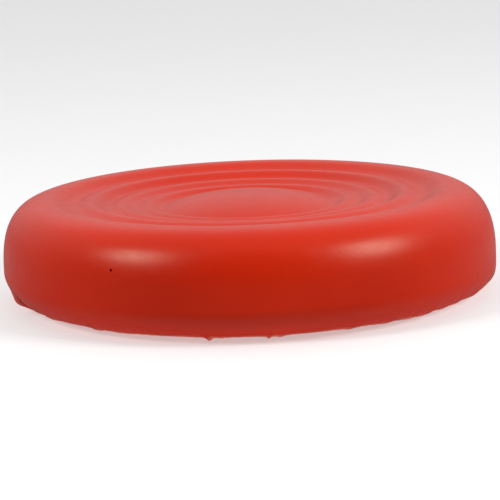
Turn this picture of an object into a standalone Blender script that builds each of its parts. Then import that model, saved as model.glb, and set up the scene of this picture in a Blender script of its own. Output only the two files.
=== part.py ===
"""Coated soft-foam flying disc, turned about +Z and standing on its lip at z = 0.

foam_core       one moulded block of soft foam: a thick rim round a thinner plate
top_skin        the outer coat: ringed top, shoulder, side wall and the hem under the lip
underside_skin  the inner coat: the flat land of the lip, inner wall and hollow's ceiling

The coats meet at a seam on the curl of the lip. Nothing turns, slides or folds.
"""

import math

import bpy
from mathutils import Vector

MM = 0.001

# Overall
DISC_DIAMETER = 240.0 * MM
DISC_HEIGHT = 48.8 * MM  # floor to the crest of the rim, the highest line

# Outside of the rim, in section
CREST_INSET = 23.5 * MM  # crest of the rim, in from the outer edge
SHOULDER_SQUARENESS = 2.7
WIDEST_HEIGHT = 15.6 * MM  # where the disc is widest
LIP_INSET = 19.0 * MM  # where the lip's curl turns flat, in from the outer edge
CURL_SQUARENESS = 2.1

# Rings in the top: half waves from the rim's crest inwards, each (width, fall).
# A fall is how far the end of the half wave lies below its start.
HALF_WAVES = (
    (11.9 * MM, 3.7 * MM),
    (8.2 * MM, -1.8 * MM),
    (8.7 * MM, 3.3 * MM),
    (6.2 * MM, -1.2 * MM),
    (7.5 * MM, 2.0 * MM),
    (5.2 * MM, -1.0 * MM),
    (7.0 * MM, 2.2 * MM),
)
DOME_RISE = 6.2 * MM  # from the innermost valley to the middle of the dome
DOME_SQUARENESS = 2.5  # flat in the middle, steepest at its edge

# Underside
RIM_WIDTH = 27.0 * MM  # outer edge to the foot of the inner wall
WALL_LEAN = 5.0 * MM  # how far the inner wall leans in on its way up
PLATE_THICKNESS = 14.0 * MM  # ceiling of the hollow to the innermost valley
FOOT_ROUND = 4.0 * MM
CEILING_ROUND = 10.0 * MM

# Coats
SKIN = 0.7 * MM
GAP = 0.3 * MM  # kept between neighbouring pieces
SEAM_INSET = 15.5 * MM  # where the coats meet on the curl, in from the outer edge

# Pinhole that lets the foam breathe
VENT_DIAMETER = 1.4 * MM
VENT_HEIGHT = 32.0 * MM
VENT_BEARING = math.radians(31.0)  # from -Y towards -X

# Facets
TURN_STEPS = 48
WAVE_STEPS = 2
DOME_STEPS = 5
SHOULDER_STEPS = 8
CURL_STEPS = 5
SEAM_STEPS = 2
ROUND_STEPS = 3

# Worked out from the sizes above
OUTER_RADIUS = DISC_DIAMETER / 2
CREST_RADIUS = OUTER_RADIUS - CREST_INSET
LIP_RADIUS = OUTER_RADIUS - LIP_INSET
SEAM_RADIUS = OUTER_RADIUS - SEAM_INSET
DOME_RADIUS = CREST_RADIUS - sum(width for width, fall in HALF_WAVES)
DOME_EDGE_HEIGHT = DISC_HEIGHT - sum(fall for width, fall in HALF_WAVES)
CEILING_HEIGHT = DOME_EDGE_HEIGHT - PLATE_THICKNESS
WALL_FOOT_RADIUS = OUTER_RADIUS - RIM_WIDTH


def clear_scene():
    for obj in list(bpy.data.objects):
        bpy.data.objects.remove(obj, do_unlink=True)


def make_collection(name):
    collection = bpy.data.collections.new(name)
    bpy.context.scene.collection.children.link(collection)
    return collection


def make_material(name, colour, roughness):
    material = bpy.data.materials.new(name)
    material.use_nodes = True
    shader = material.node_tree.nodes["Principled BSDF"]
    shader.inputs["Base Color"].default_value = (*colour, 1.0)
    shader.inputs["Roughness"].default_value = roughness
    shader.inputs["Metallic"].default_value = 0.0
    return material


# Every line below is a list of (radius, height) points in the XZ half plane. It runs the
# way a turned solid's outline must: down the outside and back along the underside.


def dome_line():
    """Axis to the innermost valley: a shallow cap."""
    points = []
    for step in range(DOME_STEPS):
        share = step / DOME_STEPS
        height = DOME_EDGE_HEIGHT + DOME_RISE * (1 - share**DOME_SQUARENESS)
        points.append((DOME_RADIUS * share, height))
    return points


def ring_line():
    """Innermost valley out to the crest of the rim, as cosine half waves."""
    points = []
    radius, height = CREST_RADIUS, DISC_HEIGHT
    for width, fall in HALF_WAVES:
        for step in range(WAVE_STEPS):
            share = step / WAVE_STEPS
            dip = fall * (1 - math.cos(math.pi * share)) / 2
            points.append((radius - width * share, height - dip))
        radius -= width
        height -= fall
    points.append((radius, height))
    return points[::-1]


def shoulder_line():
    """Crest of the rim to the widest point: a quarter of a superellipse."""
    power = 2 / SHOULDER_SQUARENESS
    rise = DISC_HEIGHT - WIDEST_HEIGHT
    points = []
    for step in range(1, SHOULDER_STEPS + 1):
        angle = math.radians(90) * step / SHOULDER_STEPS
        out = max(math.sin(angle), 0.0) ** power
        up = max(math.cos(angle), 0.0) ** power
        points.append((CREST_RADIUS + CREST_INSET * out, WIDEST_HEIGHT + rise * up))
    return points


def curl_point(angle):
    """A point on the lip's curl: 0 at the widest point, 90 degrees where it turns flat."""
    power = 2 / CURL_SQUARENESS
    out = max(math.cos(angle), 0.0) ** power
    down = max(math.sin(angle), 0.0) ** power
    return (LIP_RADIUS + LIP_INSET * out, WIDEST_HEIGHT * (1 - down))


def curl_angle(radius):
    """The angle at which the curl reaches a radius."""
    out = (radius - LIP_RADIUS) / LIP_INSET
    return math.acos(out ** (CURL_SQUARENESS / 2))


def curl_line():
    """Below the widest point, down to the seam."""
    end = curl_angle(SEAM_RADIUS)
    return [curl_point(end * step / CURL_STEPS) for step in range(1, CURL_STEPS + 1)]


def seam_line():
    """Past the seam, round the rest of the curl to where the land starts."""
    start = curl_angle(SEAM_RADIUS - GAP)
    sweep = math.radians(90) - start
    angles = [start + sweep * step / SEAM_STEPS for step in range(SEAM_STEPS + 1)]
    return [curl_point(angle) for angle in angles]


def rounded(before, corner, after, radius):
    """The corner between two straight runs, replaced by an arc."""
    corner = Vector(corner)
    back = (Vector(before) - corner).normalized()
    ahead = (Vector(after) - corner).normalized()
    half = back.angle(ahead) / 2
    centre = corner + (back + ahead).normalized() * (radius / math.sin(half))
    start = corner + back * (radius / math.tan(half)) - centre
    end = corner + ahead * (radius / math.tan(half)) - centre
    sweep = start.angle_signed(end)
    points = []
    for step in range(ROUND_STEPS + 1):
        angle = sweep * step / ROUND_STEPS
        turned = Vector(
            (
                start.x * math.cos(angle) + start.y * math.sin(angle),
                start.y * math.cos(angle) - start.x * math.sin(angle),
            )
        )
        points.append(tuple(centre + turned))
    return points


def under_line():
    """From the seam round to the land, up the inner wall and over the ceiling to the axis."""
    points = seam_line()
    land_edge = points[-1]
    foot = (WALL_FOOT_RADIUS, 0.0)
    head = (WALL_FOOT_RADIUS - WALL_LEAN, CEILING_HEIGHT)
    middle = (0.0, CEILING_HEIGHT)
    points += rounded(land_edge, foot, head, FOOT_ROUND)
    points += rounded(foot, head, middle, CEILING_ROUND)
    points.append(middle)
    return points


def inset(line, depth):
    """The line moved into the solid by a depth, with every run kept parallel."""
    points = []
    for index, point in enumerate(line):
        here = Vector(point)
        runs = []
        if index > 0:
            runs.append((here - Vector(line[index - 1])).normalized())
        if index < len(line) - 1:
            runs.append((Vector(line[index + 1]) - here).normalized())
        inward = [Vector((run.y, -run.x)) for run in runs]
        normal = sum(inward, Vector((0.0, 0.0))).normalized()
        moved = here + normal * (depth / normal.dot(inward[0]))
        on_axis = point[0] == 0.0
        points.append((0.0 if on_axis else moved.x, moved.y))
    return points


def turned(name, line, material, collection):
    """An object whose Screw modifier turns the line about +Z."""
    mesh = bpy.data.meshes.new(name)
    vertices = [(radius, 0.0, height) for radius, height in line]
    edges = [(index, index + 1) for index in range(len(line) - 1)]
    mesh.from_pydata(vertices, edges, [])
    mesh.materials.append(material)
    obj = bpy.data.objects.new(name, mesh)
    collection.objects.link(obj)
    screw = obj.modifiers.new("turn", "SCREW")
    screw.axis = "Z"
    screw.steps = TURN_STEPS
    screw.render_steps = TURN_STEPS
    screw.use_merge_vertices = True
    screw.merge_threshold = 0.00001
    screw.use_smooth_shade = True
    return obj


def thicken(obj):
    """Gives a turned coat its thickness, on the side of the foam."""
    solidify = obj.modifiers.new("coat", "SOLIDIFY")
    solidify.thickness = SKIN
    solidify.offset = -1.0
    solidify.use_even_offset = True


def bore_vent(skin, cutters):
    """Drills the pinhole square to the side wall, through the coat only."""
    reach = 12.0 * MM
    bpy.ops.mesh.primitive_cylinder_add(
        vertices=12, radius=VENT_DIAMETER / 2, depth=reach
    )
    drill = bpy.context.object
    drill.name = "vent_drill"
    for owner in list(drill.users_collection):
        owner.objects.unlink(drill)
    cutters.objects.link(drill)
    outward = Vector((-math.sin(VENT_BEARING), -math.cos(VENT_BEARING), 0.0))
    drill.rotation_euler = outward.to_track_quat("Z", "Y").to_euler()
    drill.location = outward * OUTER_RADIUS + Vector((0.0, 0.0, VENT_HEIGHT))
    drill.hide_render = True
    drill.display_type = "WIRE"
    cut = skin.modifiers.new("vent", "BOOLEAN")
    cut.operation = "DIFFERENCE"
    cut.solver = "EXACT"
    cut.object = drill


def build_disc():
    clear_scene()
    disc = make_collection("flying_disc")
    cutters = make_collection("cutters")

    outer = dome_line() + ring_line() + shoulder_line() + curl_line()
    under = under_line()

    coat = make_material("orange_red_coat", (0.68, 0.035, 0.010), 0.42)
    lining = make_material("orange_red_lining", (0.64, 0.035, 0.012), 0.50)
    foam = make_material("cream_foam", (0.78, 0.70, 0.52), 0.95)

    top_skin = turned("top_skin", outer, coat, disc)
    thicken(top_skin)
    bore_vent(top_skin, cutters)

    underside_skin = turned("underside_skin", under, lining, disc)
    thicken(underside_skin)

    core_line = inset(outer + under, SKIN + GAP)
    turned("foam_core", core_line, foam, disc)


build_disc()
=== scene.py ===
# %% [markdown]
# # A soft coated-foam flying disc
#
# The real disc is one block of soft foam with a sprayed elastic coat. The coat is what is
# seen: a ringed top, a fat rounded rim, and a lip where the coat turns under and dries in
# small lumps, creases and drips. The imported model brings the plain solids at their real
# size. This file rebuilds the two coats round them as fine meshes and gives each its finish.

import math

import bpy
import numpy as np
from mathutils import Matrix, Vector


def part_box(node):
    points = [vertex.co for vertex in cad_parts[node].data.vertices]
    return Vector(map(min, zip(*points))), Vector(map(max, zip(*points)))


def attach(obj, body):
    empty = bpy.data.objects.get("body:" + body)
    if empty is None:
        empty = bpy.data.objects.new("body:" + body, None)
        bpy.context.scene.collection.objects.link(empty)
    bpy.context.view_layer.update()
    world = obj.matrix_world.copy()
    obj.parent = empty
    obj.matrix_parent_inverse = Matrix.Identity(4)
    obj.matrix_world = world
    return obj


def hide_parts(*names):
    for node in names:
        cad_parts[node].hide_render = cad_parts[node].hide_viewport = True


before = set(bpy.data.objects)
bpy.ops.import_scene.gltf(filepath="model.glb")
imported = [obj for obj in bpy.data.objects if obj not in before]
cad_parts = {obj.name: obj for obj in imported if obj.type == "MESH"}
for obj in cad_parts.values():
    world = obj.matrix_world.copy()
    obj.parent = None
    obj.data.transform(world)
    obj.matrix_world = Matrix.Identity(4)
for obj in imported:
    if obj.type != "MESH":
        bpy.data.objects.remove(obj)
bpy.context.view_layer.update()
print("nodes:", sorted(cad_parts))

# %% [markdown]
# ## Sizes
#
# Nothing overall is typed in again: the radius and the heights of the crest and of the
# hollow's ceiling come from the boxes of the plain coats. Only the section's own values are
# given here, in metres, as the plain model has them. They could be measured off its
# vertices, but named values say what each one is. An inset is measured in from the edge.

# %% Sizes of the section
SKIN = 0.0007
GAP = 0.0003
RIM_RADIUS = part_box("top_skin")[1].x
CREST_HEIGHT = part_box("top_skin")[1].z
CEILING_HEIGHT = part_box("underside_skin")[1].z - SKIN
WIDEST_HEIGHT = 0.0156

CREST_INSET = 0.0235
SEAM_INSET = 0.0155
LIP_INSET = 0.0190
RIM_WIDTH = 0.0270
WALL_LEAN = 0.0050

CREST_RADIUS = RIM_RADIUS - CREST_INSET
SEAM_RADIUS = RIM_RADIUS - SEAM_INSET
LIP_RADIUS = RIM_RADIUS - LIP_INSET
WALL_FOOT_RADIUS = RIM_RADIUS - RIM_WIDTH
WALL_HEAD_RADIUS = WALL_FOOT_RADIUS - WALL_LEAN
print(f"disc {2000 * RIM_RADIUS:.1f} mm across, {1000 * CREST_HEIGHT:.1f} mm high")

# %% [markdown]
# ## Turning a section that changes on its way round
#
# A Screw modifier would turn one outline into the whole disc, but every bearing would be
# the same, and the lip of a real disc is not. So each surface here is a grid: one row for
# every point of the section, one column for every bearing. A section is two arrays,
# radius and height, and a column may differ from its neighbour.
#
# A bearing is an angle round the axis, from the front (-Y) towards +X.

# %% Bearings and the grid helper
COLUMNS = 960
BEARINGS = np.arange(COLUMNS) * 2 * math.pi / COLUMNS


def grid_mesh(name, radii, heights, middle):
    """A surface from rows of (radius, height), closed over the axis at its first or last row."""
    rows = radii.shape[0]
    across = radii * np.sin(BEARINGS)
    along = -radii * np.cos(BEARINGS)
    points = np.stack([across, along, heights], axis=-1).reshape(-1, 3)
    row, column = np.meshgrid(np.arange(rows - 1), np.arange(COLUMNS), indexing="ij")
    following = (column + 1) % COLUMNS
    quads = np.stack(
        [
            row * COLUMNS + column,
            (row + 1) * COLUMNS + column,
            (row + 1) * COLUMNS + following,
            row * COLUMNS + following,
        ],
        axis=-1,
    ).reshape(-1, 4)
    vertices, faces = points.tolist(), quads.tolist()
    hub = len(vertices)
    ring = [i + (0 if middle == "first" else (rows - 1) * COLUMNS) for i in range(COLUMNS)]
    if middle == "last":
        ring.reverse()
    vertices.append([0.0, 0.0, float(heights[0 if middle == "first" else -1].mean())])
    faces += [[hub, ring[i], ring[(i + 1) % COLUMNS]] for i in range(COLUMNS)]
    mesh = bpy.data.meshes.new(name)
    mesh.from_pydata(vertices, [], faces)
    mesh.shade_smooth()
    piece = bpy.data.objects.new(name, mesh)
    bpy.context.scene.collection.objects.link(piece)
    print(f"{name}: {len(vertices)} points, {len(faces)} faces")
    return piece


def all_round(line):
    """A fixed line of (radius, height) points, repeated at every bearing."""
    line = np.array(line)
    shape = (len(line), COLUMNS)
    return np.broadcast_to(line[:, :1], shape), np.broadcast_to(line[:, 1:], shape)


# %% [markdown]
# ## The ringed top
#
# The moulded top is a low dome inside three soft rolling waves. They are not grooves: a
# groove has edges, and these have none. Half cosines joined end to end give a line with no
# corner anywhere but in the innermost valley, where the dome starts with a slope. Each half
# wave is a width and a fall, from the rim's crest inwards, and a fall below 0 is a rise.

# %% The top in section
HALF_WAVES = (
    (0.0119, 0.0037),
    (0.0082, -0.0018),
    (0.0087, 0.0033),
    (0.0062, -0.0012),
    (0.0075, 0.0020),
    (0.0052, -0.0010),
    (0.0070, 0.0022),
)
DOME_RADIUS = CREST_RADIUS - sum(width for width, fall in HALF_WAVES)
DOME_EDGE_HEIGHT = CREST_HEIGHT - sum(fall for width, fall in HALF_WAVES)
DOME_RISE = 0.0062
DOME_SQUARENESS = 2.5
DOME_START = 0.02
DOME_ROWS = 40
WAVE_ROWS = 12


def dome_line():
    """The dome, from close to the axis out to the innermost valley."""
    share = np.linspace(DOME_START, 1, DOME_ROWS, endpoint=False)
    height = DOME_EDGE_HEIGHT + DOME_RISE * (1 - share**DOME_SQUARENESS)
    return list(zip(DOME_RADIUS * share, height))


def ring_line():
    """The rings, from the innermost valley out to the crest of the rim."""
    points = []
    radius, height = CREST_RADIUS, CREST_HEIGHT
    for width, fall in HALF_WAVES:
        for share in np.linspace(0, 1, WAVE_ROWS, endpoint=False):
            dip = fall * (1 - math.cos(math.pi * share)) / 2
            points.append((radius - width * share, height - dip))
        radius -= width
        height -= fall
    points.append((radius, height))
    return points[::-1]


print(f"dome to {1000 * DOME_RADIUS:.1f} mm, rings to {1000 * CREST_RADIUS:.1f} mm")

# %% [markdown]
# ## Places round the disc
#
# Soft foam is never quite true, and its coat even less so: the shoulder, the lip and the
# runs of coat all differ from one side of the disc to another. Each difference is a hill: a
# change that is full at one bearing and dies away smoothly on both sides, so that nothing
# shows where it starts.

# %% Helpers for places


def degrees_from(centre):
    """How far each bearing is from this one, in degrees, the short way round."""
    return (np.degrees(BEARINGS) - centre + 180) % 360 - 180


def hill(centre, half_width):
    """1 at a bearing, falling smoothly to 0 on both sides of it."""
    return np.exp(-((degrees_from(centre) / half_width) ** 2))


def changed_at(plain, places):
    """One value all round, changed at places: each a bearing, a half width and a change."""
    values = np.full(COLUMNS, plain)
    for centre, half_width, change in places:
        values += change * hill(centre, half_width)
    return values


print(f"at its half width a hill is still {math.exp(-1):.2f} high")

# %% [markdown]
# ## Shoulder and wall
#
# From the crest of the rim to its widest point the wall is a quarter of a superellipse, a
# little squarer than a circle. Walking it by the angle of a ray from its centre spaces the
# rows evenly, which plain sine and cosine powers do not. At two places the shoulder is a
# little rounder than on the rest.

# %% The shoulder in section
SHOULDER_ROWS = 44
SHOULDER_SQUARENESS = 2.7
ROUNDER_SHOULDERS = (
    (100, 42, -0.25),
    (-122, 34, -0.14),
)


def superellipse(angle, squareness):
    """A point on |x|^n + |y|^n = 1, met by a ray at this angle."""
    x, y = np.cos(angle), np.sin(angle)
    reach = (np.abs(x) ** squareness + np.abs(y) ** squareness) ** (-1 / squareness)
    return reach * x, reach * y


shoulder_squareness = changed_at(SHOULDER_SQUARENESS, ROUNDER_SHOULDERS)
shoulder_angle = np.linspace(math.pi / 2, 0, SHOULDER_ROWS + 1)[1:, None]
out, up = superellipse(shoulder_angle, shoulder_squareness)
shoulder_radii = CREST_RADIUS + (RIM_RADIUS - CREST_RADIUS) * out
shoulder_heights = WIDEST_HEIGHT + (CREST_HEIGHT - WIDEST_HEIGHT) * up

ringed_radii, ringed_heights = all_round(dome_line() + ring_line())
TOP_RADII = np.vstack([ringed_radii, shoulder_radii])
TOP_HEIGHTS = np.vstack([ringed_heights, shoulder_heights])
print(f"top and wall: {len(TOP_RADII)} rows")

# %% [markdown]
# ## The lip
#
# Under its widest point the rim curls in to the flat land that it lies on. The curl is
# nearly round over most of the disc. Towards +X the coat looks trimmed rather than rolled:
# the wall runs further down, and at the very side it turns in over a tight corner. Towards
# -X the curl is a touch rounder still. A curl whose squareness depends on the bearing gives
# all of that, with no join in between.

# %% How the curl changes with the bearing
CURL_ROWS = 46
ROUND_CURL = 1.9
CURL_CHANGES = (
    (82, 22, 0.85),
    (92, 10, 1.6),
    (-88, 16, -0.08),
)

curl_squareness = changed_at(ROUND_CURL, CURL_CHANGES)
seam_across = (SEAM_RADIUS - LIP_RADIUS) / (RIM_RADIUS - LIP_RADIUS)
seam_down = (1 - seam_across**curl_squareness) ** (1 / curl_squareness)
seam_angle = np.arctan2(seam_down, seam_across)
CURL_SHARE = np.linspace(0, 1, CURL_ROWS + 1)[1:, None]


def curl_grid(start, end, share):
    """Radius and height over part of the curl, from one angle of its ray to another."""
    out, down = superellipse(start + (end - start) * share, curl_squareness)
    return LIP_RADIUS + (RIM_RADIUS - LIP_RADIUS) * out, WIDEST_HEIGHT * (1 - down)


curl_radii, curl_heights = curl_grid(0 * seam_angle, seam_angle, CURL_SHARE)
print(f"curl squareness {curl_squareness.min():.1f} to {curl_squareness.max():.1f}")

# %% [markdown]
# ## Runs of coat
#
# Sprayed coat runs down the wall and gathers at the lip. Where a run dried there is a lump
# or a small hanging drip. They could be loose blobs stuck on, but the real ones are one
# film with the wall, so the grid's own points are pushed out along the curl's normal.
#
# Each run is a bearing, a half width in degrees, how far it stands proud in millimetres,
# and how sharply it ends: 2 is a round lump and 1 a pointed drip.

# %% Runs of coat on the lip
MM = 0.001
RUN_STEEPNESS = 1.6
RUNS = (
    (-69.5, 2.6, 0.3, 2),
    (-64.2, 1.1, 0.7, 1),
    (-57.5, 1.7, 0.9, 2),
    (-40.5, 1.3, 0.6, 1),
    (-33.0, 4.0, 0.3, 2),
    (-10.4, 0.9, 1.6, 1),
    (-7.4, 1.0, 0.4, 1),
    (3.8, 0.8, 1.3, 1),
    (6.6, 1.6, 0.7, 2),
    (24.0, 2.2, 0.4, 2),
    (33.5, 2.6, 0.4, 2),
    (42.0, 4.0, 0.7, 2),
    (46.0, 2.0, 0.9, 2),
    (52.5, 1.6, 0.7, 2),
    (57.5, 2.0, 0.8, 2),
    (66.0, 1.5, 0.6, 2),
    (88.0, 5.0, 0.7, 2),
    (118.0, 2.5, 0.8, 2),
    (136.0, 1.2, 1.1, 1),
    (155.0, 3.0, 0.6, 2),
    (171.0, 1.0, 1.2, 1),
    (-164.0, 2.4, 0.7, 2),
    (-147.0, 1.1, 1.2, 1),
    (-128.0, 3.2, 0.8, 2),
    (-104.0, 1.6, 0.9, 2),
    (-88.0, 2.0, 0.8, 2),
)


def run_of_coat(bearing, half_width, sharpness):
    """The outline of one run along the lip: round for 2, pointed for 1."""
    away = np.abs(degrees_from(bearing)) / half_width
    return np.exp(-(away**sharpness) * RUN_STEEPNESS)


proud = np.zeros(COLUMNS)
for bearing, half_width, height, sharpness in RUNS:
    proud += MM * height * run_of_coat(bearing, half_width, sharpness)
print(f"{len(RUNS)} runs, up to {proud.max() / MM:.1f} mm proud")

# %% [markdown]
# Between the runs the lip is never quite even. A few waves with whole numbers of turns
# round the disc add up to a line that closes on itself and repeats nowhere in between. A
# slow wander goes all the way round, and a finer raggedness is strongest on the trimmed
# side.

# %% Unevenness of the lip
WANDER = 0.00016
RAGGEDNESS = 0.00020
RAGGED_SIDE = (75, 38)
RAGGED_ELSEWHERE = 0.25

rng = np.random.default_rng(7)


def uneven(slowest, fastest, count):
    """A closed wandering line, mostly between -1 and 1, from whole-number waves."""
    turns = rng.integers(slowest, fastest, count)
    phases = rng.uniform(0, 2 * math.pi, count)
    waves = np.sin(np.outer(turns, BEARINGS) + phases[:, None])
    return waves.sum(axis=0) / math.sqrt(count)


slow_wander = WANDER * uneven(6, 26, 9)
ragged = RAGGEDNESS * uneven(60, 170, 14) * (RAGGED_ELSEWHERE + hill(*RAGGED_SIDE))
proud += slow_wander + ragged
print(f"unevenness: {(slow_wander + ragged).std() / MM:.2f} mm typical")

# %% [markdown]
# ## Creases
#
# Where the film was pulled round the curl it creased. A crease is a narrow valley that
# starts at the lip and dies out on its way up the wall. It leans a little, so its bearing
# shifts with height. Each one is a bearing, a half width in degrees, a depth in
# millimetres, and how many degrees it has shifted by its top.

# %% Creases above the lip
CREASES = (
    (-66.2, 0.7, 1.30, -4.0),
    (-70.2, 0.5, 0.70, -5.0),
    (-62.0, 0.8, 0.35, 4.0),
    (-74.5, 0.9, 0.30, 2.0),
    (112.0, 0.9, 0.40, 3.0),
    (-132.0, 1.0, 0.45, -4.0),
    (164.0, 0.9, 0.35, 4.0),
)
CREASE_TOP = 0.0135
CREASE_FADE = 1.3


def creases(heights):
    """How deep the creases are, over a grid of heights."""
    depth = np.zeros_like(heights)
    fade = np.clip(1 - heights / CREASE_TOP, 0, 1) ** CREASE_FADE
    for bearing, half_width, deep, lean in CREASES:
        shifted = degrees_from(bearing)[None, :] - lean * heights / CREASE_TOP
        depth += MM * deep * fade * np.exp(-((shifted / half_width) ** 2))
    return depth


creasing = creases(curl_heights)
print(f"{len(CREASES)} creases up to {CREASE_TOP / MM:.1f} mm above the floor")

# %% [markdown]
# ## What stands out and what is pulled in
#
# The runs stand out only low down, and reach higher at two places. Towards the left end
# there is also a knot of gathered coat a little way up the curl. Creases pull the surface
# in, but the foam's own solid lies 1 mm under the plain coat and would show through a deep
# one, so there is a limit on how far the surface goes in.

# %% Build-up less creases
RUN_REACH = 0.0042
HIGHER_RUNS = (
    (84, 24, 0.0030),
    (-70, 8, 0.0020),
)
KNOT_PLACE = (-72.5, 3.2)
KNOT_HEIGHT = 0.0058
KNOT_REACH = 0.0030
KNOT_PROUD = 0.0021
DEEPEST = 0.00040

run_reach = changed_at(RUN_REACH, HIGHER_RUNS)
low_down = np.exp(-((np.clip(curl_heights, 0, None) / run_reach) ** 2))
knot = np.exp(-(((curl_heights - KNOT_HEIGHT) / KNOT_REACH) ** 2)) * hill(*KNOT_PLACE)
buildup = proud[None, :] * low_down + KNOT_PROUD * knot
push = np.maximum(buildup - creasing, -DEEPEST)
print(f"pushed from {push.min() / MM:.2f} to {push.max() / MM:.2f} mm")

# %% [markdown]
# ## The outer coat
#
# The rows of the top and of the pushed curl are stacked, and Solidify gives the film its
# thickness on the foam's side. The direction of the push comes from the grid itself: it is
# the direction from row to row, turned by a quarter.

# %% Build the outer coat


def push_along_normal(radii, heights, amount):
    """Moves every point of a section grid outwards by an amount."""
    across = np.gradient(radii, axis=0)
    along = np.gradient(heights, axis=0)
    length = np.hypot(across, along)
    return radii - along / length * amount, heights + across / length * amount


def add_film(piece, thickness):
    """A modifier that thickens a surface on the side of the foam."""
    film = piece.modifiers.new("film", "SOLIDIFY")
    film.thickness = thickness
    film.offset = -1.0


pushed_radii, pushed_heights = push_along_normal(curl_radii, curl_heights, push)
outer_coat = grid_mesh(
    "outer_coat",
    np.vstack([TOP_RADII, pushed_radii]),
    np.vstack([TOP_HEIGHTS, pushed_heights]),
    middle="first",
)
add_film(outer_coat, SKIN)

# %% [markdown]
# The finish needs to know where coat has gathered, where it has creased, and where the
# lowest few millimetres are: there a pale painted reflection of the bright table goes, and
# the creases get painted shade. All three are known here, point by point, so they are stored
# on the mesh as attributes, which the material reads later. In each of them 0 is the plain
# coat and 1 is full, and the material takes no more than 1.

# %% Store build-up, creases and scuffs on the mesh
FULL_BUILDUP = 0.001
# Painted reflection: a pale band over the lowest few millimetres of the lip, where the bright
# table is mirrored.
REFLECTION_TOP = 0.00319
REFLECTION_FADE = 0.0022
REFLECTION_EVENNESS = 0.8


def store(piece, name, grid, rows_before):
    """Saves a grid of values as a point attribute; rows before it get 0."""
    values = np.zeros(len(piece.data.vertices), np.float32)
    start = rows_before * COLUMNS
    values[start : start + grid.size] = grid.ravel()
    piece.data.attributes.new(name, "FLOAT", "POINT").data.foreach_set("value", values)
    print(f"{name}: up to {values.max():.2f}")


# The band of painted reflection, a little patchy round the disc.
patchy = REFLECTION_EVENNESS + (1 - REFLECTION_EVENNESS) * uneven(9, 60, 9)
reflection_band = np.clip((REFLECTION_TOP - curl_heights) / REFLECTION_FADE, 0, 1) * patchy
store(outer_coat, "buildup", np.clip(buildup / FULL_BUILDUP, 0, 1), len(TOP_RADII))
# The crease mask also carries the painted shade of the creases in the finish.
store(outer_coat, "crease", np.clip(creasing / DEEPEST, 0, 1), len(TOP_RADII))
store(outer_coat, "painted_reflection", reflection_band, len(TOP_RADII))

# %% [markdown]
# ## The pinhole
#
# Foam has to breathe, so one small hole goes through the coat, part of the way up the wall.
# It is hardly wider than the grid's own spacing, so it is cut with a Boolean. The coat is
# already a closed body after Solidify, which is what the fast MANIFOLD solver asks for.
# Smooth shading would run on over the hole's edge and leave a pale fleck there, so edges
# that turn sharply are marked.

# %% Cut the pinhole
VENT_RADIUS = 0.0007
VENT_HEIGHT = 0.032
VENT_BEARING = math.radians(31)
DRILL_LENGTH = 0.012
SHARP = math.radians(50)

vent_out = Vector((-math.sin(VENT_BEARING), -math.cos(VENT_BEARING), 0))
bpy.ops.mesh.primitive_cylinder_add(vertices=24, radius=VENT_RADIUS, depth=DRILL_LENGTH)
drill = bpy.context.object
drill.rotation_euler = vent_out.to_track_quat("Z", "Y").to_euler()
drill.location = vent_out * RIM_RADIUS + Vector((0, 0, VENT_HEIGHT))
vent = outer_coat.modifiers.new("vent", "BOOLEAN")
vent.operation = "DIFFERENCE"
vent.solver = "MANIFOLD"
vent.object = drill


def keep_result(piece):
    """Replaces a piece's mesh with what its modifiers make of it, and marks sharp edges."""
    depsgraph = bpy.context.evaluated_depsgraph_get()
    result = bpy.data.meshes.new_from_object(piece.evaluated_get(depsgraph))
    piece.modifiers.clear()
    piece.data = result
    result.name = piece.name
    result.set_sharp_from_angle(angle=SHARP)
    print(f"{piece.name}: {len(result.polygons)} faces once its modifiers are applied")


keep_result(outer_coat)
bpy.data.objects.remove(drill)

# %% [markdown]
# ## The inner coat
#
# The lining goes on from the seam: the last of the curl, the flat land, the inner wall and
# the ceiling of the hollow. Both inner corners are rounded, as a mould's are. It is sprayed
# less carefully than the outside, so its surface gets slow dips and a pebbled finish.

# %% The lining in section
FOOT_ROUND = 0.004
CEILING_ROUND = 0.010
CORNER_ROWS = 14
LINING_SPACING = 0.0012
LINING_END = 0.001


def rounded(before, corner, after, radius):
    """The corner between two straight runs, replaced by an arc."""
    corner = Vector(corner)
    back = (Vector(before) - corner).normalized()
    ahead = (Vector(after) - corner).normalized()
    half = back.angle(ahead) / 2
    centre = corner + (back + ahead).normalized() * (radius / math.sin(half))
    start = corner + back * (radius / math.tan(half)) - centre
    end = corner + ahead * (radius / math.tan(half)) - centre
    points = []
    for share in np.linspace(0, 1, CORNER_ROWS):
        points.append(tuple(centre + start.slerp(end, share).normalized() * radius))
    return points


def filled(line, spacing):
    """The same line with points added, so that no run is longer than the spacing."""
    points = [line[0]]
    for (r0, z0), (r1, z1) in zip(line, line[1:]):
        count = max(1, math.ceil(math.hypot(r1 - r0, z1 - z0) / spacing))
        for share in np.linspace(0, 1, count + 1)[1:]:
            points.append((r0 + (r1 - r0) * share, z0 + (z1 - z0) * share))
    return points


foot = (WALL_FOOT_RADIUS, 0.0)
head = (WALL_HEAD_RADIUS, CEILING_HEIGHT)
lining_line = [(LIP_RADIUS, 0.0)]
lining_line += rounded((LIP_RADIUS, 0.0), foot, head, FOOT_ROUND)
lining_line += rounded(foot, head, (0.0, CEILING_HEIGHT), CEILING_ROUND)
lining_line.append((LINING_END, CEILING_HEIGHT))
lining_line = filled(lining_line, LINING_SPACING)
print(f"lining: {len(lining_line)} points from the lip to the middle")

# %% Build the inner coat
TURN_ROWS = 8
DIP = 0.00012
DIP_TURNS = (5, 9, 14, 23)
DIP_WAVES = 20
CALM_MIDDLE = 0.03
CALM_LAND = 0.003

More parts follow.
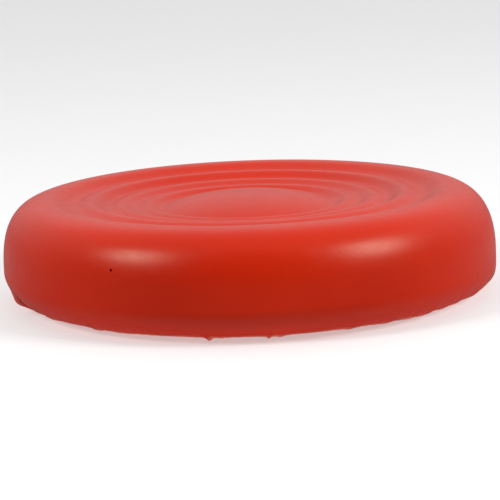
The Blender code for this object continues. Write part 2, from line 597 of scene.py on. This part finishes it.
seam_gap = GAP / WIDEST_HEIGHT
turn_share = np.linspace(0, 1, TURN_ROWS, endpoint=False)[:, None]
turn_end = np.full(COLUMNS, math.pi / 2)
turn_radii, turn_heights = curl_grid(seam_angle + seam_gap, turn_end, turn_share)
line_radii, line_heights = all_round(lining_line)
lining_radii = np.vstack([turn_radii, line_radii])
lining_heights = np.vstack([turn_heights, line_heights])

travel = np.linspace(0, 1, len(lining_radii))[:, None]
dips = np.zeros_like(lining_radii)
for turns in DIP_TURNS:
    phase, along = rng.uniform(0, 2 * math.pi, 2)
    dips += np.sin(turns * BEARINGS + phase) * np.sin((DIP_WAVES + turns) * travel + along)
dips *= DIP * np.clip(lining_radii / CALM_MIDDLE, 0, 1) * np.clip(lining_heights / CALM_LAND, 0, 1)
lining_radii, lining_heights = push_along_normal(lining_radii, lining_heights, dips)
inner_coat = grid_mesh("inner_coat", lining_radii, lining_heights, middle="last")
add_film(inner_coat, SKIN)
keep_result(inner_coat)

# %% [markdown]
# ## How finishes are made
#
# Every finish is a Principled shader with nodes in front of it. The nodes read the piece's
# own coordinates, in metres, so a noise of scale 800 has grains of about a millimetre, and
# nothing slides when the camera moves.

# %% Helpers for finishes


class Finish:
    """A Principled material, with short ways to add the nodes in front of it."""

    def __init__(self, name):
        self.material = bpy.data.materials.new(name)
        self.material.use_nodes = True
        self.nodes = self.material.node_tree.nodes
        self.links = self.material.node_tree.links
        self.shader = self.nodes["Principled BSDF"]
        self.place = self.nodes.new("ShaderNodeTexCoord").outputs["Object"]

    def set(self, **values):
        for socket, value in values.items():
            self.shader.inputs[socket.replace("_", " ")].default_value = value

    def noise(self, scale, detail=2.0):
        node = self.nodes.new("ShaderNodeTexNoise")
        node.inputs["Scale"].default_value = scale
        node.inputs["Detail"].default_value = detail
        self.links.new(self.place, node.inputs["Vector"])
        return node.outputs["Fac"]

    def attribute(self, name):
        node = self.nodes.new("ShaderNodeAttribute")
        node.attribute_name = name
        return node.outputs["Fac"]

    def remap(self, value, low, high, to_low=0, to_high=1):
        node = self.nodes.new("ShaderNodeMapRange")
        ends = (low, high, to_low, to_high)
        for socket, end in zip(("From Min", "From Max", "To Min", "To Max"), ends):
            node.inputs[socket].default_value = end
        self.links.new(value, node.inputs["Value"])
        return node.outputs["Result"]

    def mix(self, share, first, second):
        node = self.nodes.new("ShaderNodeMix")
        node.data_type = "RGBA"
        self.links.new(share, node.inputs["Factor"])
        # A Mix node has sockets A, B and Result for every type; these are the colours.
        for socket, colour in ((node.inputs[6], first), (node.inputs[7], second)):
            if isinstance(colour, tuple):
                socket.default_value = (*colour, 1)
            else:
                self.links.new(colour, socket)
        return node.outputs[2]

    def bump(self, height, strength, distance, before=None):
        node = self.nodes.new("ShaderNodeBump")
        node.inputs["Strength"].default_value = strength
        node.inputs["Distance"].default_value = distance
        self.links.new(height, node.inputs["Height"])
        if before:
            self.links.new(before, node.inputs["Normal"])
        return node.outputs["Normal"]

    def feed(self, **outputs):
        for socket, output in outputs.items():
            self.links.new(output, self.shader.inputs[socket.replace("_", " ")])

    def put_on(self, piece):
        piece.data.materials.clear()
        piece.data.materials.append(self.material)
        print(f"{self.material.name} on {piece.name}")


# %% [markdown]
# ## The outer coat's finish
#
# The coat is an elastic paint: saturated orange-red, satin, and pale pink where it is seen
# at a low angle, because every satin surface reflects its surroundings strongly there. The
# shader does that by itself, with a low IOR and a warm tint for a soft paint. What it needs
# from nodes is the unevenness of a sprayed film: a slight drift of colour, deeper colour
# where coat gathered and a faint orange peel. The nodes also paint a pale reflection of the
# table along the lowest edge of the lip, and painted shade in the creases.

# %% Colour of the outer coat
COAT_RED = (0.48, 0.012, 0.0006)
COAT_ORANGE = (0.53, 0.016, 0.0012)
THICK_RED = (0.40, 0.012, 0.0016)
# Pale pink of the painted reflection of the table along the lip.
REFLECTED_PINK = (0.80, 0.26, 0.19)
# Dark red of the painted shade in the creases.
CREASE_SHADE = (0.12, 0.005, 0.0015)
THICK_SHARE = 0.6
REFLECTION_SHARE = 0.70
CREASE_SHADE_SHARE = 0.9

satin = Finish("satin_elastic_coat")
drift = satin.remap(satin.noise(16, detail=3), 0.3, 0.7)
coat_colour = satin.mix(drift, COAT_RED, COAT_ORANGE)
# Gathered coat darkens the colour; the lowest edge gets a painted reflection and the creases
# painted shade.
for colour_mask, start, share, tone in (
    ("buildup", 0.2, THICK_SHARE, THICK_RED),
    ("painted_reflection", 0.1, REFLECTION_SHARE, REFLECTED_PINK),
    ("crease", 0.1, CREASE_SHADE_SHARE, CREASE_SHADE),
):
    amount = satin.remap(satin.attribute(colour_mask), start, 1, 0, share)
    coat_colour = satin.mix(amount, coat_colour, tone)
    print(f"{colour_mask} changes the colour by up to {share}")

# %% Gloss and orange peel of the outer coat
PEEL = 620
RIPPLE = 85
SMOOTHEST = 0.31
ROUGHEST = 0.36

peel = satin.bump(satin.noise(PEEL, detail=1.5), strength=0.10, distance=0.0003)
peel = satin.bump(satin.noise(RIPPLE, detail=1), strength=0.06, distance=0.0010, before=peel)
rough = satin.remap(satin.noise(240, detail=2), 0.3, 0.7, SMOOTHEST, ROUGHEST)
satin.feed(Base_Color=coat_colour, Roughness=rough, Normal=peel)
satin.set(IOR=1.32, Specular_Tint=(1.0, 0.92, 0.72, 1.0))
satin.put_on(outer_coat)

# %% [markdown]
# ## The lining's finish
#
# The inside is the same paint, sprayed thinner over open foam, so it is duller than the
# outside. Its pebbles are too many and too shallow to be worth geometry, so they are bump.

# %% Pebbled lining
LINING_RED = (0.60, 0.030, 0.0085)
LINING_DARK = (0.50, 0.022, 0.0070)

pebbled = Finish("pebbled_lining")
patches = pebbled.remap(pebbled.noise(22, detail=3), 0.3, 0.7)
pebbles = pebbled.bump(pebbled.noise(420, detail=2.5), strength=0.35, distance=0.0005)
dullness = pebbled.remap(pebbled.noise(180), 0.3, 0.7, 0.50, 0.60)
pebbled.feed(Base_Color=pebbled.mix(patches, LINING_RED, LINING_DARK))
pebbled.feed(Roughness=dullness, Normal=pebbles)
pebbled.set(IOR=1.45, Specular_IOR_Level=0.40)
pebbled.put_on(inner_coat)

# %% [markdown]
# ## The foam's finish
#
# The foam shows only down the pinhole and in the seam: cream, matt, with cells of about a
# millimetre, which a Voronoi texture gives. Just behind the pinhole it has soaked up coat,
# so the hole looks dark red and not cream.

# %% Cream foam
FOAM_CREAM = (0.74, 0.62, 0.42)
FOAM_SHADE = (0.52, 0.40, 0.24)
SOAKED_RED = (0.80, 0.030, 0.004)
CELLS = 900
SOAKED_INNER = 0.0025
SOAKED_OUTER = 0.0035
SOAKED_INSET = 0.0016

cells = Finish("cream_foam")
cell = cells.nodes.new("ShaderNodeTexVoronoi")
cell.inputs["Scale"].default_value = CELLS
cells.links.new(cells.place, cell.inputs["Vector"])
cell_height = cells.remap(cell.outputs["Distance"], 0, 0.7)
hollows = cells.bump(cell_height, strength=0.8, distance=0.0006)
vent_place = cells.nodes.new("ShaderNodeVectorMath")
vent_place.operation = "DISTANCE"
soaked_middle = vent_out * (RIM_RADIUS - SOAKED_INSET) + Vector((0, 0, VENT_HEIGHT))
vent_place.inputs[1].default_value = soaked_middle
cells.links.new(cells.place, vent_place.inputs[0])
soaked = cells.remap(vent_place.outputs["Value"], SOAKED_INNER, SOAKED_OUTER, 1, 0)
foam_colour = cells.mix(cell_height, FOAM_SHADE, FOAM_CREAM)
cells.feed(Base_Color=cells.mix(soaked, foam_colour, SOAKED_RED), Normal=hollows)
cells.set(Roughness=0.95)
cells.put_on(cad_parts["foam_core"])

# %% [markdown]
# ## Join the pieces to the frame
#
# The two coats stand for the plain solids top_skin and underside_skin, which stay in the
# physics model. Nothing on the disc moves against anything else, so all of it rides on one body.

# %% Ride and replace
for coat, node, slot in (
    (outer_coat, "top_skin", "outer_coat"),
    (inner_coat, "underside_skin", "inner_coat"),
):
    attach(coat, "root")
    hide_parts(node)
    print(f"{coat.name} stands for {node}")

# %% [markdown]
# ## The floor
#
# The disc lies on a white table that runs past the edge of the view. A table as bright as
# it looks would throw white light back on the wall and wash its red out. So to the camera
# the floor is lit and glows a little, and to every other ray it is a plain dull grey. It
# lies just under the lowest drip.

# %% White table
FLOOR_DROP = 0.0014
FLOOR_SIZE = 16
FLOOR_SEEN = (0.45, 0.45, 0.45, 1)
FLOOR_GLOW = 0.42
FLOOR_DULL = (0.30, 0.30, 0.30, 1)

bpy.ops.mesh.primitive_plane_add(size=FLOOR_SIZE, location=(0, 0, -FLOOR_DROP))
floor = bpy.context.object
floor.name = "floor"
table = bpy.data.materials.new("white_table")
table.use_nodes = True
table_nodes = table.node_tree.nodes
table_links = table.node_tree.links
seen = table_nodes["Principled BSDF"]
seen.inputs["Base Color"].default_value = FLOOR_SEEN
seen.inputs["Roughness"].default_value = 0.9
seen.inputs["Emission Color"].default_value = (1, 1, 1, 1)
seen.inputs["Emission Strength"].default_value = FLOOR_GLOW
dull = table_nodes.new("ShaderNodeBsdfDiffuse")
dull.inputs["Color"].default_value = FLOOR_DULL
either = table_nodes.new("ShaderNodeMixShader")
light_path = table_nodes.new("ShaderNodeLightPath")
table_links.new(light_path.outputs["Is Camera Ray"], either.inputs["Fac"])
table_links.new(dull.outputs["BSDF"], either.inputs[1])
table_links.new(seen.outputs["BSDF"], either.inputs[2])
table_links.new(either.outputs["Shader"], table_nodes["Material Output"].inputs["Surface"])
floor.data.materials.append(table)
print(f"floor {FLOOR_DROP / MM:.1f} mm under the plain lip")

# %% [markdown]
# ## The world
#
# A satin surface shows what stands round it, so the world is graded. It is pale behind the
# disc and more so higher up, which gives the rings their pale far sides, and pale overhead.
# It is dark in front, which keeps the wall that faces the camera deep red. The camera
# itself sees an even pale ground.

# %% Graded world
HORIZON = 0.42
BEHIND = 0.92
IN_FRONT = 0.09
OVERHEAD = 0.87
SEEN = 0.92

world = bpy.data.worlds.new("studio")
bpy.context.scene.world = world
world.use_nodes = True
sky = world.node_tree.nodes
sky_links = world.node_tree.links
split = sky.new("ShaderNodeSeparateXYZ")
sky_links.new(sky.new("ShaderNodeTexCoord").outputs["Generated"], split.inputs["Vector"])


def fade(value, start, end, first, last):
    """A smooth change from one strength to another as a direction's share grows."""
    node = sky.new("ShaderNodeMapRange")
    node.interpolation_type = "SMOOTHSTEP"
    sky_links.new(value, node.inputs["Value"])
    node.inputs["From Min"].default_value = start
    node.inputs["From Max"].default_value = end
    for socket, strength in (("To Min", first), ("To Max", last)):
        if isinstance(strength, float):
            node.inputs[socket].default_value = strength
        else:
            sky_links.new(strength, node.inputs[socket])
    return node.outputs["Result"]


behind = fade(split.outputs["Z"], -0.05, 0.60, HORIZON, BEHIND)
round_about = fade(split.outputs["Y"], -0.35, 0.35, IN_FRONT, behind)
lighting = fade(split.outputs["Z"], 0.55, 0.95, round_about, OVERHEAD)
seen_or_lit = sky.new("ShaderNodeMix")
camera_ray = sky.new("ShaderNodeLightPath").outputs["Is Camera Ray"]
sky_links.new(camera_ray, seen_or_lit.inputs["Factor"])
sky_links.new(lighting, seen_or_lit.inputs["A"])
seen_or_lit.inputs["B"].default_value = SEEN
sky_links.new(seen_or_lit.outputs["Result"], sky["Background"].inputs["Strength"])
sky["Background"].inputs["Color"].default_value = (1, 1, 1, 1)
print(f"world {BEHIND} behind, {IN_FRONT} in front, {OVERHEAD} overhead")

# %% [markdown]
# ## The lamps
#
# Two large soft boxes, front left and front right, make the two blurred highlights on the
# shoulder. A small lamp would give a hard bright spot instead.

# %% Soft boxes
MIDDLE = Vector((0, 0, CREST_HEIGHT))


def soft_box(name, bearing, rise, distance, width, power):
    """A square area light on a bearing from the front, aimed at the disc."""
    lamp = bpy.data.lights.new(name, "AREA")
    lamp.size = width
    lamp.energy = power
    box = bpy.data.objects.new(name, lamp)
    flat = math.cos(math.radians(rise))
    towards = Vector(
        (
            math.sin(math.radians(bearing)) * flat,
            -math.cos(math.radians(bearing)) * flat,
            math.sin(math.radians(rise)),
        )
    )
    box.location = MIDDLE + towards * distance
    box.rotation_euler = towards.to_track_quat("Z", "Y").to_euler()
    bpy.context.scene.collection.objects.link(box)
    print(f"{name}: {power} W at {bearing} degrees round, {rise} up")


soft_box("soft_box_left", bearing=-58, rise=33, distance=1.6, width=0.5, power=15)
soft_box("soft_box_right", bearing=63, rise=31, distance=1.6, width=0.6, power=20)

# %% [markdown]
# A bright table lights the lip from below. The floor here is dull to everything but the
# camera, so a round lamp just above it does that work instead. It is hidden from the camera
# and from reflections, and only its light is left. A lamp's power is the brightness of its
# face times pi times the area of the face.

# %% Light panel under the disc
PANEL_MARGIN = 0.010
PANEL_LIFT = 0.0001
PANEL_GLOW = 0.85

panel_radius = RIM_RADIUS + PANEL_MARGIN
glow = bpy.data.lights.new("light_panel", "AREA")
glow.shape = "DISK"
glow.size = 2 * panel_radius
glow.energy = PANEL_GLOW * math.pi * math.pi * panel_radius**2
panel = bpy.data.objects.new("light_panel", glow)
panel.location = (0, 0, PANEL_LIFT - FLOOR_DROP)
panel.rotation_euler = (math.pi, 0, 0)
panel.visible_camera = False
panel.visible_glossy = False
bpy.context.scene.collection.objects.link(panel)
print(f"light panel: {glow.energy:.2f} W from below")

# %% [markdown]
# ## The camera
#
# The disc is seen through a long lens from a little above, slightly tilted to the right.
# A long lens far away keeps the near and far rims close in size. The tilt is a roll of the
# camera, because the disc itself has to lie flat on the floor.

# %% Camera
CAMERA_DISTANCE = 0.96
CAMERA_RISE = math.radians(10.662)
CAMERA_ROLL = math.radians(2.15)
LENS = 141.0
PIVOT = Vector((0, 0, 0.024))
AIM = Vector((0.0002, -0.0009, 0.0192))

lens = bpy.data.cameras.new("camera")
lens.sensor_width = 36
lens.lens = LENS
camera = bpy.data.objects.new("camera", lens)
back = Vector((0, -math.cos(CAMERA_RISE), math.sin(CAMERA_RISE)))
camera.location = PIVOT + back * CAMERA_DISTANCE
look = (AIM - camera.location).to_track_quat("-Z", "Y").to_matrix().to_4x4()
roll = Matrix.Rotation(-CAMERA_ROLL, 4, "Z")
camera.rotation_euler = (look @ roll).to_euler()
bpy.context.scene.collection.objects.link(camera)
bpy.context.scene.camera = camera
bpy.context.scene.view_settings.view_transform = "Standard"
bpy.context.scene.view_settings.look = "None"
print(f"camera {CAMERA_DISTANCE} m away, {LENS} mm lens")
